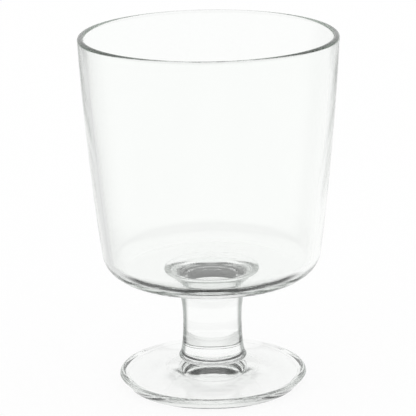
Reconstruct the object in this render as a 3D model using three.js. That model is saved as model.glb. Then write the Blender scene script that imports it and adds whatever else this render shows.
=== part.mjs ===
// Clear glass goblet: a wide, gently flared bowl on a short solid stem and a round foot.
// Millimetres, +Z up. The origin is on the table, at the middle of the foot.
// The three pieces are bodies of revolution, stacked and fused at two flat seams.

import * as THREE from 'three';

// Heights of the pieces, from the table up
const footHeight = 8.6; // table to the seam under the stem
const stemHeight = 29.6; // seam on the foot to the seam under the bowl
const bowlHeight = 81.8; // underside of the bowl to the top of the rim

// Bowl
const rimRadius = 43.1; // outside of the rim
const shoulderRadius = 36.9; // outside of the wall, where it turns into the bottom corner
const shoulderLean = 6.9; // degrees that the wall leans out there, easing towards the rim
const rimWall = 2.1; // wall at the rim, which is fire-polished to a half round
const shoulderWall = 3.1; // wall just above the bottom corner
const floorThickness = 3.5; // glass under the drink
const outerCorner = 9.1; // radius of the bottom corner, outside
const innerCorner = 5; // radius of the bottom corner, inside

// Stem
const waistRadius = 9.95; // narrowest place
const waistHeight = 13.2; // above the seam on the foot
const headRadius = 16; // bead under the bowl
const headBead = 1; // height of that bead
const headReach = 26.3; // height at which the lines of the shank and the head's flare cross
const heelRadius = 11.45; // bead on the foot
const heelBead = 1; // height of that bead
const heelReach = 6; // height at which the lines of the shank and the heel's flare cross

// Foot
const footRadius = 31.8; // widest place
const footGirth = 3; // height of the widest place
const edgeTop = 4.2; // height at which the rounded edge ends on top
const edgeInset = 1.6; // from the widest place in to where the rounded edge ends on top
const restRadius = 29.2; // outside of the ring that stands on the table
const restWidth = 1.2; // width of that ring
const hollowDepth = 3; // how far the underside rises inside the ring
const hollowReach = 12; // radius at which the lines of the hollow's crown and of its skirt cross
const sweepRadius = 19.9; // place at which the lines of the foot's rim and of its rise to the stem cross
const sweepHeight = 6.2; // height of that place

// Fineness of the solids
const turnSteps = 64; // facets round the axis
const curveSteps = 4; // facets on a wall curve, and on half of an arc

const lean = THREE.MathUtils.degToRad(shoulderLean);
const quarter = Math.PI / 2;

// The wall's line out of a bottom corner, followed to half way up to the rim. It gives the wall its bow.
function halfWayUp(corner, rim) {
  const rise = (rim.y - corner.y) / 2;
  return new THREE.Vector2(corner.x + rise * Math.tan(lean), corner.y + rise);
}

// The end of a bottom corner, where its arc meets the wall
function cornerEnd(centre, radius) {
  return new THREE.Vector2(centre.x + radius * Math.cos(lean), centre.y - radius * Math.sin(lean));
}

// Half-round bead on a piece of revolution, from its lower edge to its upper one
function bead(outline, radius, height, bottom) {
  outline.absarc(radius - height / 2, bottom + height / 2, height / 2, -quarter, quarter);
}

function bowlOutline() {
  const lip = rimWall / 2;
  const outerRim = new THREE.Vector2(rimRadius, bowlHeight - lip);
  const innerRim = new THREE.Vector2(rimRadius - rimWall, bowlHeight - lip);
  const outerCentre = new THREE.Vector2(shoulderRadius - outerCorner * Math.cos(lean), outerCorner);
  const innerCentre = new THREE.Vector2(
    shoulderRadius - shoulderWall - innerCorner * Math.cos(lean),
    floorThickness + innerCorner,
  );
  const outerEnd = cornerEnd(outerCentre, outerCorner);
  const innerEnd = cornerEnd(innerCentre, innerCorner);
  const outerBow = halfWayUp(outerEnd, outerRim);
  const innerBow = halfWayUp(innerEnd, innerRim);

  const outline = new THREE.Path();
  outline.moveTo(0, 0);
  outline.lineTo(outerCentre.x, 0);
  outline.absarc(outerCentre.x, outerCentre.y, outerCorner, -quarter, -lean);
  outline.quadraticCurveTo(outerBow.x, outerBow.y, outerRim.x, outerRim.y);
  outline.absarc(rimRadius - lip, bowlHeight - lip, lip, 0, Math.PI);
  outline.quadraticCurveTo(innerBow.x, innerBow.y, innerEnd.x, innerEnd.y);
  outline.absarc(innerCentre.x, innerCentre.y, innerCorner, -lean, -quarter, true);
  outline.lineTo(0, floorThickness);
  return outline;
}

function stemOutline() {
  const headBottom = stemHeight - headBead;
  const outline = new THREE.Path();
  outline.moveTo(0, 0);
  outline.lineTo(heelRadius - heelBead / 2, 0);
  bead(outline, heelRadius, heelBead, 0);
  outline.quadraticCurveTo(waistRadius, heelReach, waistRadius, waistHeight);
  outline.quadraticCurveTo(waistRadius, headReach, headRadius - headBead / 2, headBottom);
  bead(outline, headRadius, headBead, headBottom);
  outline.lineTo(0, stemHeight);
  return outline;
}

function footOutline() {
  const restInside = restRadius - restWidth;
  const edgeInside = footRadius - edgeInset;
  const outline = new THREE.Path();
  outline.moveTo(0, hollowDepth);
  outline.quadraticCurveTo(hollowReach, hollowDepth, restInside, 0);
  outline.lineTo(restRadius, 0);
  outline.lineTo(footRadius, footGirth);
  outline.absellipse(edgeInside, footGirth, edgeInset, edgeTop - footGirth, 0, quarter);
  outline.quadraticCurveTo(sweepRadius, sweepHeight, heelRadius, footHeight);
  outline.lineTo(0, footHeight);
  return outline;
}

// Turns an outline about +Z. It runs from the axis, out and up, and back to the axis, so faces point out.
function turned(name, outline, bottom) {
  const geometry = new THREE.LatheGeometry(outline.getPoints(curveSteps), turnSteps);
  geometry.rotateX(quarter);
  const glass = new THREE.MeshStandardMaterial({
    color: 0xeef3f0,
    roughness: 0.05,
    metalness: 0,
    transparent: true,
    opacity: 0.35,
  });
  const piece = new THREE.Mesh(geometry, glass);
  piece.name = name;
  piece.position.z = bottom;
  return piece;
}

const goblet = new THREE.Group();
goblet.name = 'goblet';
goblet.add(turned('foot', footOutline(), 0));
goblet.add(turned('stem', stemOutline(), footHeight));
goblet.add(turned('bowl', bowlOutline(), footHeight + stemHeight));

export default goblet;
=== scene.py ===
import math

import bpy
from mathutils import Matrix, Vector


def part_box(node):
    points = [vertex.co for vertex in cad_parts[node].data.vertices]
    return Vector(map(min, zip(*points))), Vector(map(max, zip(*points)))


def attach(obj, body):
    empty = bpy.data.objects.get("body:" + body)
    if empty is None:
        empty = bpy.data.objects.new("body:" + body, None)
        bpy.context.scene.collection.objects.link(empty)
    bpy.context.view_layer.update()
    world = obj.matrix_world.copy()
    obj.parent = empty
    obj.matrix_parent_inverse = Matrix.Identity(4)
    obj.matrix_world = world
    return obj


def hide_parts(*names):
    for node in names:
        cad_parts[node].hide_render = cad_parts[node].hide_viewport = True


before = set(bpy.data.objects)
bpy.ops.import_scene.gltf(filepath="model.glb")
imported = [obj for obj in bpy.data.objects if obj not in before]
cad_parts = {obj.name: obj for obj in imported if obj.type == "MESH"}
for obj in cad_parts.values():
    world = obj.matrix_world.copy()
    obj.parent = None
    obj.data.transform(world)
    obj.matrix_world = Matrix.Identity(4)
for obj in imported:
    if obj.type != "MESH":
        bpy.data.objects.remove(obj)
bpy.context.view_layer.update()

scene = bpy.context.scene
quarter = math.pi / 2
millimetre = 0.001
degree = math.radians(1)


def addNode(tree, kind, inputs=None, **settings):
    made = tree.nodes.new(kind)
    for name, value in settings.items():
        setattr(made, name, value)
    for key, value in (inputs or {}).items():
        if isinstance(value, bpy.types.NodeSocket):
            tree.links.new(value, made.inputs[key])
        else:
            made.inputs[key].default_value = value
    return made


def linear(hexColour):
    shares = [int(hexColour[i:i + 2], 16) / 255 for i in (1, 3, 5)]
    return [s / 12.92 if s <= 0.04045 else ((s + 0.055) / 1.055) ** 2.4 for s in shares] + [1]


# Camera
camera = {
    "sensor": 36,  # mm wide
    "lens": 194.65,  # mm
    "distance": 0.7244,  # in front of the goblet's axis, metres
    "height": 0.2689,  # above the table, metres
    "pitch": 16.034,  # degrees down
    "yaw": -0.074,  # degrees to the right
    "roll": -0.857,  # degrees
}


def addCamera():
    pitch, yaw, roll = (camera[k] * degree for k in ("pitch", "yaw", "roll"))
    ahead = Vector((math.sin(yaw) * math.cos(pitch), math.cos(yaw) * math.cos(pitch), -math.sin(pitch)))
    level = Vector((math.cos(yaw), -math.sin(yaw), 0))
    upright = level.cross(ahead)
    across = math.cos(roll) * level + math.sin(roll) * upright
    upwards = math.cos(roll) * upright - math.sin(roll) * level
    data = bpy.data.cameras.new("camera")
    data.sensor_width = camera["sensor"]
    data.lens = camera["lens"]
    made = bpy.data.objects.new("camera", data)
    scene.collection.objects.link(made)
    facing = Matrix((across, upwards, -ahead)).transposed().to_4x4()
    made.matrix_world = Matrix.Translation((0, -camera["distance"], camera["height"])) @ facing
    scene.camera = made


addCamera()
print("camera set")


# Fire-polished soda-lime glass, pressed in a mould: clear and colourless to the eye, with slow waves left by
# the mould and a polish that is nearly, but not quite, perfect.
glass = {
    "colour": "#fdfefd",
    "paintedEdgeShade": "#6c736f",  # painted shade: the dark colour given where the glass is seen edge-on
    "ior": 1.52,
    "waveLength": 16,  # mm, of the waves in the polish
    "waveDepth": 0.012,  # mm
    "waveDetail": 1,
    "smearLength": 9,  # mm, of the patches where the polish is duller
    "smearDetail": 3,
    "smearNoise": (0.45, 0.75),  # noise at which the polish starts to dull, and at which it is dullest
    "polish": (0.0, 0.012),  # roughness, best and dullest
}


# edge: how far the surface turns from the eye where the painted edge shade starts, and where it is full
def glassMaterial(name, edge=None):
    made = bpy.data.materials.new(name)
    made.use_nodes = True
    tree = made.node_tree
    surface = tree.nodes["Principled BSDF"]
    surface.inputs["Base Color"].default_value = linear(glass["colour"])
    surface.inputs["IOR"].default_value = glass["ior"]
    surface.inputs["Transmission Weight"].default_value = 1
    place = addNode(tree, "ShaderNodeTexCoord").outputs["Object"]
    smears = addNode(tree, "ShaderNodeTexNoise", {
        "Vector": place,
        "Scale": 1 / (glass["smearLength"] * millimetre),
        "Detail": glass["smearDetail"],
    })
    polish = addNode(tree, "ShaderNodeMapRange", {
        "Value": smears.outputs[0],
        "From Min": glass["smearNoise"][0],
        "From Max": glass["smearNoise"][1],
        "To Min": glass["polish"][0],
        "To Max": glass["polish"][1],
    })
    waves = addNode(tree, "ShaderNodeTexNoise", {
        "Vector": place,
        "Scale": 1 / (glass["waveLength"] * millimetre),
        "Detail": glass["waveDetail"],
    })
    relief = addNode(tree, "ShaderNodeBump", {
        "Height": waves.outputs[0],
        "Distance": glass["waveDepth"] * millimetre,
    })
    tree.links.new(polish.outputs["Result"], surface.inputs["Roughness"])
    tree.links.new(relief.outputs["Normal"], surface.inputs["Normal"])
    if edge is not None:
        # Painted shade: the glass colour darkens where the surface turns from the eye, near its outline
        slant = addNode(tree, "ShaderNodeLayerWeight", {"Blend": 0.5})
        share = addNode(tree, "ShaderNodeMapRange", {
            "Value": slant.outputs["Facing"],
            "From Min": edge[0],
            "From Max": edge[1],
        }, interpolation_type="SMOOTHSTEP")
        # Sockets 6 and 7 are the two colours of this node, and output 2 is their mix
        edgeShadeMix = addNode(tree, "ShaderNodeMix", {
            "Factor": share.outputs["Result"],
            6: linear(glass["colour"]),
            7: linear(glass["paintedEdgeShade"]),
        }, data_type="RGBA")
        tree.links.new(edgeShadeMix.outputs[2], surface.inputs["Base Color"])
    return made


# Hot-fused seam: the glass runs through it, so there is nothing to see
def seamMaterial():
    made = bpy.data.materials.new("fusedSeam")
    made.use_nodes = True
    made.node_tree.nodes["Principled BSDF"].inputs["Alpha"].default_value = 0
    return made


fusedSeam = seamMaterial()


# Stretches of an outline, each without its first point, which is the last one of the stretch before it
def arcPoints(centre, radii, start, end, count):
    angles = [start + (end - start) * i / count for i in range(1, count + 1)]
    return [(centre[0] + radii[0] * math.cos(a), centre[1] + radii[1] * math.sin(a)) for a in angles]


def curvePoints(first, pull, last, count):
    made = []
    for i in range(1, count + 1):
        t = i / count
        shares = ((1 - t) ** 2, 2 * t * (1 - t), t * t)
        made.append(tuple(sum(s * p[k] for s, p in zip(shares, (first, pull, last))) for k in (0, 1)))
    return made


def linePoints(first, last, count):
    return [tuple(first[k] + (last[k] - first[k]) * i / count for k in (0, 1)) for i in range(1, count + 1)]


turning = {
    "turnSteps": 256,  # faces round the axis
    "creaseAngle": 40,  # degrees: sharper edges than this stay sharp
    "weld": 0.001,  # mm, between points that become one on the axis and where the turn closes
    "waveDetail": 1,
    "waveMiddle": 0.5,  # noise at which the wall is neither pushed out nor drawn in
}


# Turns an outline about the axis. Faces between outline points that are marked as seam get the seam's
# material.
def turningTree():
    tree = bpy.data.node_groups.new("turning", "GeometryNodeTree")
    wanted = (
        ("Outline", "NodeSocketGeometry"),
        ("Outline Points", "NodeSocketInt"),
        ("Turn Steps", "NodeSocketInt"),
        ("Wave Length", "NodeSocketFloat"),
        ("Wave Depth", "NodeSocketFloat"),
        ("Crease Angle", "NodeSocketFloat"),
        ("Glass", "NodeSocketMaterial"),
        ("Seam", "NodeSocketMaterial"),
    )
    for name, kind in wanted:
        tree.interface.new_socket(name, in_out="INPUT", socket_type=kind)
    tree.interface.new_socket("Turned", in_out="OUTPUT", socket_type="NodeSocketGeometry")
    given = addNode(tree, "NodeGroupInput").outputs
    index = addNode(tree, "GeometryNodeInputIndex").outputs[0]
    place = addNode(tree, "GeometryNodeInputPosition").outputs[0]
    columns = addNode(tree, "ShaderNodeMath", {0: given["Turn Steps"], 1: 1}).outputs[0]
    grid = addNode(tree, "GeometryNodeMeshGrid", {
        "Vertices X": given["Outline Points"],
        "Vertices Y": columns,
    })
    share = addNode(tree, "ShaderNodeMath", {0: index, 1: columns}, operation="DIVIDE")
    row = addNode(tree, "ShaderNodeMath", {0: share.outputs[0]}, operation="FLOOR").outputs[0]
    column = addNode(tree, "ShaderNodeMath", {0: index, 1: columns}, operation="MODULO")
    fullTurn = -2 * math.pi  # clockwise, so that faces point out
    step = addNode(tree, "ShaderNodeMath", {0: fullTurn, 1: given["Turn Steps"]}, operation="DIVIDE")
    angle = addNode(tree, "ShaderNodeMath", {0: column.outputs[0], 1: step.outputs[0]}, operation="MULTIPLY")
    point = addNode(tree, "GeometryNodeSampleIndex", {
        "Geometry": given["Outline"],
        "Value": place,
        "Index": row,
    }, data_type="FLOAT_VECTOR")
    turned = addNode(tree, "ShaderNodeVectorRotate", {
        "Vector": point.outputs[0],
        "Angle": angle.outputs[0],
    }, rotation_type="Z_AXIS")
    kept = tree.nodes.new("GeometryNodeCaptureAttribute")
    kept.capture_items.new("FLOAT", "Row")
    tree.links.new(grid.outputs["Mesh"], kept.inputs[0])
    tree.links.new(row, kept.inputs[1])
    shaped = addNode(tree, "GeometryNodeSetPosition", {
        "Geometry": kept.outputs[0],
        "Position": turned.outputs[0],
    })
    closed = addNode(tree, "GeometryNodeMergeByDistance", {
        "Geometry": shaped.outputs[0],
        "Distance": turning["weld"] * millimetre,
    })

    # Slow waves in the wall, across the axis only, so the flat seams stay flat
    scale = addNode(tree, "ShaderNodeMath", {0: 1, 1: given["Wave Length"]}, operation="DIVIDE")
    wave = addNode(tree, "ShaderNodeTexNoise", {
        "Vector": place,
        "Scale": scale.outputs[0],
        "Detail": turning["waveDetail"],
    })
    swing = addNode(tree, "ShaderNodeMath", {
        0: wave.outputs[0],
        1: turning["waveMiddle"],
    }, operation="SUBTRACT")
    depth = addNode(tree, "ShaderNodeMath", {
        0: swing.outputs[0],
        1: given["Wave Depth"],
    }, operation="MULTIPLY")
    normal = addNode(tree, "GeometryNodeInputNormal").outputs[0]
    outward = addNode(tree, "ShaderNodeVectorMath", {0: normal, 1: (1, 1, 0)}, operation="MULTIPLY")
    offset = addNode(tree, "ShaderNodeVectorMath", {
        0: outward.outputs[0],
        "Scale": depth.outputs[0],
    }, operation="SCALE")
    waved = addNode(tree, "GeometryNodeSetPosition", {
        "Geometry": closed.outputs[0],
        "Offset": offset.outputs[0],
    })
    bend = addNode(tree, "GeometryNodeInputMeshEdgeAngle").outputs["Unsigned Angle"]
    soft = addNode(tree, "ShaderNodeMath", {0: bend, 1: given["Crease Angle"]}, operation="LESS_THAN")
    smooth = addNode(tree, "GeometryNodeSetShadeSmooth", {
        "Geometry": waved.outputs[0],
        "Shade Smooth": soft.outputs[0],
    }, domain="EDGE")

    seamMark = addNode(tree, "GeometryNodeInputNamedAttribute", {"Name": "seam"}, data_type="FLOAT")
    faceRow = addNode(tree, "ShaderNodeMath", {0: kept.outputs[1]}, operation="FLOOR")
    isSeam = addNode(tree, "GeometryNodeSampleIndex", {
        "Geometry": given["Outline"],
        "Value": seamMark.outputs[0],
        "Index": faceRow.outputs[0],
    }, data_type="FLOAT")
    whole = addNode(tree, "GeometryNodeRealizeInstances", {"Geometry": smooth.outputs[0]})
    clear = addNode(tree, "GeometryNodeSetMaterial", {
        "Geometry": whole.outputs[0],
        "Material": given["Glass"],
    })
    fused = addNode(tree, "GeometryNodeSetMaterial", {
        "Geometry": clear.outputs[0],
        "Selection": isSeam.outputs[0],
        "Material": given["Seam"],
    })
    addNode(tree, "NodeGroupOutput", {0: fused.outputs[0]})
    return tree


turner = turningTree()


# The outline runs from its start on the axis, out and up, and back to the axis.
# stretches: lists of points, each with True if it lies in a seam
def turn(name, node, start, stretches, bottom, material, piece):
    points, marks = [start], []
    for added, inSeam in stretches:
        points += added
        marks += [1.0 if inSeam else 0.0] * len(added)
    marks.append(0.0)
    outline = bpy.data.meshes.new(name + "Outline")
    places = [(r * millimetre, 0, (z + bottom) * millimetre) for r, z in points]
    outline.from_pydata(places, [(i, i + 1) for i in range(len(places) - 1)], [])
    outline.attributes.new("seam", "FLOAT", "POINT").data.foreach_set("value", marks)
    made = bpy.data.objects.new(name, outline)
    scene.collection.objects.link(made)
    modifier = made.modifiers.new("turning", "NODES")
    modifier.node_group = turner
    inputs = {
        "Outline Points": len(points),
        "Turn Steps": turning["turnSteps"],
        "Wave Length": piece["waveLength"] * millimetre,
        "Wave Depth": piece["waveDepth"] * millimetre,
        "Crease Angle": turning["creaseAngle"] * degree,
        "Glass": material,
        "Seam": fusedSeam,
    }
    for item in turner.interface.items_tree:
        if item.name in inputs:
            modifier[item.identifier] = inputs[item.name]
    evaluated = made.evaluated_get(bpy.context.evaluated_depsgraph_get())
    made.data = bpy.data.meshes.new_from_object(evaluated)
    made.modifiers.clear()
    made.data.name = name
    bpy.data.meshes.remove(outline)
    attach(made, "root")
    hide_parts(node)
    print(name, "turned:", len(made.data.polygons), "faces")


def span(node):
    low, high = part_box(node)
    return high.x / millimetre, low.z / millimetre, high.z / millimetre


footRadius, footBottom, footTop = span("foot")
headRadius, stemBottom, stemTop = span("stem")
rimRadius, bowlBottom, bowlTop = span("bowl")

# Steps are the points along each stretch of an outline
stem = {
    "waistRadius": 9.95,
    "waistHeight": 13.2,  # above the foot
    "headBead": 1.0,  # height of the bead under the bowl
    "headReach": 26.3,  # where the lines of the shank and the head's flare cross
    "heelRadius": 11.45,
    "heelBead": 1.0,  # height of the bead on the foot
    "heelReach": 6.0,  # where the lines of the shank and the heel's flare cross
    "waveLength": 14,
    "waveDepth": 0.03,
    "edge": (0.45, 0.62),  # painted shade: the shank's colour darkens towards its outline between these
    "heelSeamSteps": 6,
    "beadSteps": 16,
    "heelSteps": 28,
    "headSteps": 36,
    "headSeamSteps": 8,
}


def turnStem():
    height = stemTop - stemBottom
    start = (0, 0)
    heel, head = stem["heelBead"] / 2, stem["headBead"] / 2
    heelSeam = (stem["heelRadius"] - heel, 0)
    heelTop = (heelSeam[0], 2 * heel)
    waist = (stem["waistRadius"], stem["waistHeight"])
    headBottom = (headRadius - head, height - 2 * head)
    headSeam = (headBottom[0], height)
    side = arcPoints((heelSeam[0], heel), (heel, heel), -quarter, quarter, stem["beadSteps"])
    side += curvePoints(heelTop, (waist[0], stem["heelReach"]), waist, stem["heelSteps"])
    side += curvePoints(waist, (waist[0], stem["headReach"]), headBottom, stem["headSteps"])
    side += arcPoints((headBottom[0], height - head), (head, head), -quarter, quarter, stem["beadSteps"])
    stretches = [
        (linePoints(start, heelSeam, stem["heelSeamSteps"]), True),
        (side, False),
        (linePoints(headSeam, (0, height), stem["headSeamSteps"]), True),
    ]
    # The stem's glass gets the painted edge shade towards its outline
    material = glassMaterial("drawnSodaLimeGlass", stem["edge"])
    turn("goblet_stem", "stem", start, stretches, stemBottom, material, stem)


foot = {
    "girth": 3.0,  # height of the widest place
    "edgeTop": 4.2,  # where the rounded edge ends on top
    "edgeInset": 1.6,  # from the widest place in to there
    "restRadius": 29.2,  # outside of the ring that stands on the table
    "restWidth": 1.2,
    "hollowDepth": 3.0,
    "hollowReach": 12.0,  # where the lines of the hollow's crown and its skirt cross
    "sweepRadius": 19.9,  # where the lines of the rim and of the rise to the stem cross
    "sweepHeight": 6.2,
    "waveLength": 18,
    "waveDepth": 0.012,
    "hollowSteps": 28,
    "restSteps": 3,
    "flankSteps": 10,
    "edgeSteps": 20,
    "sweepSteps": 30,
    "ledgeSteps": 2,  # on the flat ring under the stem's bead
    "seamSteps": 6,
}


def turnFoot():
    start = (0, foot["hollowDepth"])
    restInside = (foot["restRadius"] - foot["restWidth"], 0)
    rest = (foot["restRadius"], 0)
    widest = (footRadius, foot["girth"])
    edge = (footRadius - foot["edgeInset"], foot["edgeTop"])
    edgeRadii = (foot["edgeInset"], edge[1] - widest[1])
    heel = (stem["heelRadius"], footTop)
    heelSeam = (heel[0] - stem["heelBead"] / 2, footTop)
    skin = curvePoints(start, (foot["hollowReach"], start[1]), restInside, foot["hollowSteps"])
    skin += linePoints(restInside, rest, foot["restSteps"])
    skin += linePoints(rest, widest, foot["flankSteps"])
    skin += arcPoints((edge[0], widest[1]), edgeRadii, 0, quarter, foot["edgeSteps"])
    skin += curvePoints(edge, (foot["sweepRadius"], foot["sweepHeight"]), heel, foot["sweepSteps"])
    skin += linePoints(heel, heelSeam, foot["ledgeSteps"])
    stretches = [
        (skin, False),
        (linePoints(heelSeam, (0, footTop), foot["seamSteps"]), True),
    ]
    material = glassMaterial("pressedSodaLimeFoot")
    turn("goblet_foot", "foot", start, stretches, footBottom, material, foot)


bowl = {
    "shoulderRadius": 36.9,  # outside of the wall, where it turns into the bottom corner
    "shoulderLean": 6.9,  # degrees that the wall leans out there
    "rimWall": 2.1,
    "shoulderWall": 3.1,
    "floorThickness": 3.5,
    "outerCorner": 9.1,
    "innerCorner": 5.0,
    "waveLength": 26,
    "waveDepth": 0.06,
    "seamSteps": 10,
    "undersideSteps": 8,
    "cornerSteps": 24,
    "wallSteps": 40,
    "rimSteps": 24,
    "floorSteps": 14,
}


def turnBowl():
    height = bowlTop - bowlBottom
    start = (0, 0)
    lean = bowl["shoulderLean"] * degree
    lip = bowl["rimWall"] / 2
    seam = (headRadius - stem["headBead"] / 2, 0)

    # Centre of a bottom corner, and the place where it meets the wall
    def corner(outside, radius, low):
        centre = (outside - radius * math.cos(lean), low + radius)
        return centre, (outside, centre[1] - radius * math.sin(lean))

    # The wall's line out of a bottom corner, half way up to the rim
    def bow(end, rim):
        rise = (rim[1] - end[1]) / 2
        return end[0] + rise * math.tan(lean), end[1] + rise

    outer, outerEnd = corner(bowl["shoulderRadius"], bowl["outerCorner"], 0)
    innerRadius = bowl["shoulderRadius"] - bowl["shoulderWall"]
    inner, innerEnd = corner(innerRadius, bowl["innerCorner"], bowl["floorThickness"])
    outerRadii = (bowl["outerCorner"], bowl["outerCorner"])
    innerRadii = (bowl["innerCorner"], bowl["innerCorner"])
    outerRim = (rimRadius, height - lip)
    innerRim = (rimRadius - 2 * lip, height - lip)
    floor = (0, bowl["floorThickness"])
    skin = linePoints(seam, (outer[0], 0), bowl["undersideSteps"])
    skin += arcPoints(outer, outerRadii, -quarter, -lean, bowl["cornerSteps"])
    skin += curvePoints(outerEnd, bow(outerEnd, outerRim), outerRim, bowl["wallSteps"])
    skin += arcPoints((rimRadius - lip, height - lip), (lip, lip), 0, math.pi, bowl["rimSteps"])
    skin += curvePoints(innerRim, bow(innerEnd, innerRim), innerEnd, bowl["wallSteps"])
    skin += arcPoints(inner, innerRadii, -lean, -quarter, bowl["cornerSteps"])
    skin += linePoints((inner[0], floor[1]), floor, bowl["floorSteps"])
    stretches = [
        (linePoints(start, seam, bowl["seamSteps"]), True),
        (skin, False),
    ]
    material = glassMaterial("pressedSodaLimeBowl")
    turn("goblet_bowl", "bowl", start, stretches, bowlBottom, material, bowl)


turnFoot()
turnStem()
turnBowl()


# Bright-field studio. What is seen straight or through the glass is white. What the glass throws back is the
# studio: a white table, a white sweep from behind it to overhead, and a dark room on the other sides.
studio = {
    "sweepTilt": 40,  # degrees back from straight overhead, to the middle of the sweep
    "sweepReach": (44, 60),  # degrees off its middle: lit up to the first, dark from the second
    "sweepLevel": 0.97,
    "roomLevel": 0.08,
    "tableEdge": (0, 4),  # degrees up: the white table ends between these
    "tableLevel": 1.0,
    "tableNear": (-32, -46),  # degrees up: the goblet's own shade on the table begins between these
    "nearLevel": 0.12,
    "shadeLeft": (-45, -24),  # degrees right of +Y and up: the middle of a shade on the table
    "shadeReach": (10, 34),  # degrees off its middle
    "shadeTaken": 0.25,  # share of the light
    "longPath": 20,  # bounces inside the glass that turn white light to its deep colour
    "deepColour": "#e6ebe7",
}


# High up to the first limit, low from the second
def fade(tree, value, limits, unit, low=0.0, high=1.0):
    return addNode(tree, "ShaderNodeMapRange", {
        "Value": value,
        "From Min": limits[0] * unit,
        "From Max": limits[1] * unit,
        "To Min": high,
        "To Max": low,
    }, interpolation_type="SMOOTHSTEP").outputs["Result"]


def upToOne(tree, depth):
    return addNode(tree, "ShaderNodeMath", {0: depth, 1: 1}, operation="MINIMUM").outputs[0]


# 1 for light that the glass throws back, and 0 for light seen straight, through the glass or on the table
def thrownBack(tree, path):
    return addNode(tree, "ShaderNodeMath", {
        0: upToOne(tree, path["Glossy Depth"]),
        1: upToOne(tree, path["Diffuse Depth"]),
    }, operation="SUBTRACT", use_clamp=True).outputs[0]


def lightWorld():
    world = bpy.data.worlds.new("studio")
    scene.world = world
    world.use_nodes = True
    tree = world.node_tree
    tree.nodes.clear()
    direction = addNode(tree, "ShaderNodeTexCoord").outputs["Generated"]
    height = addNode(tree, "ShaderNodeSeparateXYZ", {0: direction}).outputs["Z"]
    rise = addNode(tree, "ShaderNodeMath", {0: height}, operation="ARCSINE").outputs[0]

    # Angle between the direction and an aim, which is given in degrees right of +Y and up
    def offFrom(right, upward):
        aim = Vector((
            math.sin(right * degree) * math.cos(upward * degree),
            math.cos(right * degree) * math.cos(upward * degree),
            math.sin(upward * degree),
        ))
        facing = addNode(tree, "ShaderNodeVectorMath", {0: direction, 1: aim}, operation="DOT_PRODUCT")
        return addNode(tree, "ShaderNodeMath", {0: facing.outputs["Value"]}, operation="ARCCOSINE").outputs[0]

    bare = addNode(tree, "ShaderNodeMath", {
        0: fade(tree, rise, studio["tableNear"], degree, studio["nearLevel"], studio["tableLevel"]),
        1: fade(tree, rise, studio["tableEdge"], degree),
    }, operation="MULTIPLY")
    offShade = offFrom(*studio["shadeLeft"])
    unshaded = addNode(tree, "ShaderNodeMath", {
        0: 1,
        1: fade(tree, offShade, studio["shadeReach"], degree, 0.0, studio["shadeTaken"]),
    }, operation="SUBTRACT")
    lit = addNode(tree, "ShaderNodeMath", {
        0: bare.outputs[0],
        1: unshaded.outputs[0],
    }, operation="MULTIPLY").outputs[0]
    offSweep = offFrom(0, 90 - studio["sweepTilt"])
    sweep = fade(tree, offSweep, studio["sweepReach"], degree, studio["roomLevel"], studio["sweepLevel"])
    room = addNode(tree, "ShaderNodeMath", {0: sweep, 1: lit}, operation="MAXIMUM").outputs[0]
    path = addNode(tree, "ShaderNodeLightPath").outputs
    strength = addNode(tree, "ShaderNodeMix", {
        "Factor": thrownBack(tree, path),
        "A": 1.0,
        "B": room,
    })
    length = addNode(tree, "ShaderNodeMath", {
        0: path["Glossy Depth"],
        1: studio["longPath"],
    }, operation="DIVIDE").outputs[0]
    tinted = addNode(tree, "ShaderNodeGamma", {"Color": linear(studio["deepColour"]), "Gamma": length})
    light = addNode(tree, "ShaderNodeBackground", {
        "Color": tinted.outputs[0],
        "Strength": strength.outputs[0],
    })
    addNode(tree, "ShaderNodeOutputWorld", {"Surface": light.outputs[0]})


table = {
    "colour": "#fcfcfc",
    "shine": 0.9,  # share of its white that takes no shadow
    "underFoot": (20, 30),  # mm off the axis: shaded up to the first, open from the second
    "underLevel": 0.02,
    "gap": 0.2,  # mm under the foot
    "reach": 6,  # metres from its middle to a side
}


# Matt white table: as white as the background, with a faint shadow round the foot
def tableMaterial():
    made = bpy.data.materials.new("whiteTable")
    made.use_nodes = True
    tree = made.node_tree
    tree.nodes.clear()
    path = addNode(tree, "ShaderNodeLightPath").outputs
    place = addNode(tree, "ShaderNodeTexCoord").outputs["Object"]
    off = addNode(tree, "ShaderNodeVectorMath", {0: place}, operation="LENGTH").outputs["Value"]
    shine = addNode(tree, "ShaderNodeMath", {
        0: table["shine"],
        1: upToOne(tree, path["Diffuse Depth"]),
    }, operation="SUBTRACT", use_clamp=True)
    shaded = addNode(tree, "ShaderNodeBsdfDiffuse", {"Color": linear(table["colour"])})
    white = addNode(tree, "ShaderNodeEmission", {"Strength": 1.0})
    seenStraight = addNode(tree, "ShaderNodeMixShader", {
        0: shine.outputs[0],
        1: shaded.outputs[0],
        2: white.outputs[0],
    })
    # Light that the glass throws down finds shade under the foot, and the room elsewhere
    under = addNode(tree, "ShaderNodeEmission", {"Strength": table["underLevel"]})
    clear = addNode(tree, "ShaderNodeBsdfTransparent")
    thrownDown = addNode(tree, "ShaderNodeMixShader", {
        0: fade(tree, off, table["underFoot"], millimetre),
        1: clear.outputs[0],
        2: under.outputs[0],
    })
    seen = addNode(tree, "ShaderNodeMixShader", {
        0: thrownBack(tree, path),
        1: seenStraight.outputs[0],
        2: thrownDown.outputs[0],
    })
    addNode(tree, "ShaderNodeOutputMaterial", {"Surface": seen.outputs[0]})
    return made


def layTable():
    reach = table["reach"]
    low = -table["gap"] * millimetre
    data = bpy.data.meshes.new("table")
    corners = [(x * reach, y * reach, low) for x, y in ((-1, -1), (1, -1), (1, 1), (-1, 1))]
    data.from_pydata(corners, [], [(0, 1, 2, 3)])
    data.materials.append(tableMaterial())
    made = bpy.data.objects.new("table", data)
    scene.collection.objects.link(made)


lightWorld()
layTable()
scene.view_settings.view_transform = "Standard"

# Light runs far inside the wall, from the rim to the foot, and is thrown back many times on its way
scene.cycles.max_bounces = 160
scene.cycles.glossy_bounces = 128
scene.cycles.transmission_bounces = 128
scene.cycles.transparent_max_bounces = 32
print("studio lit")
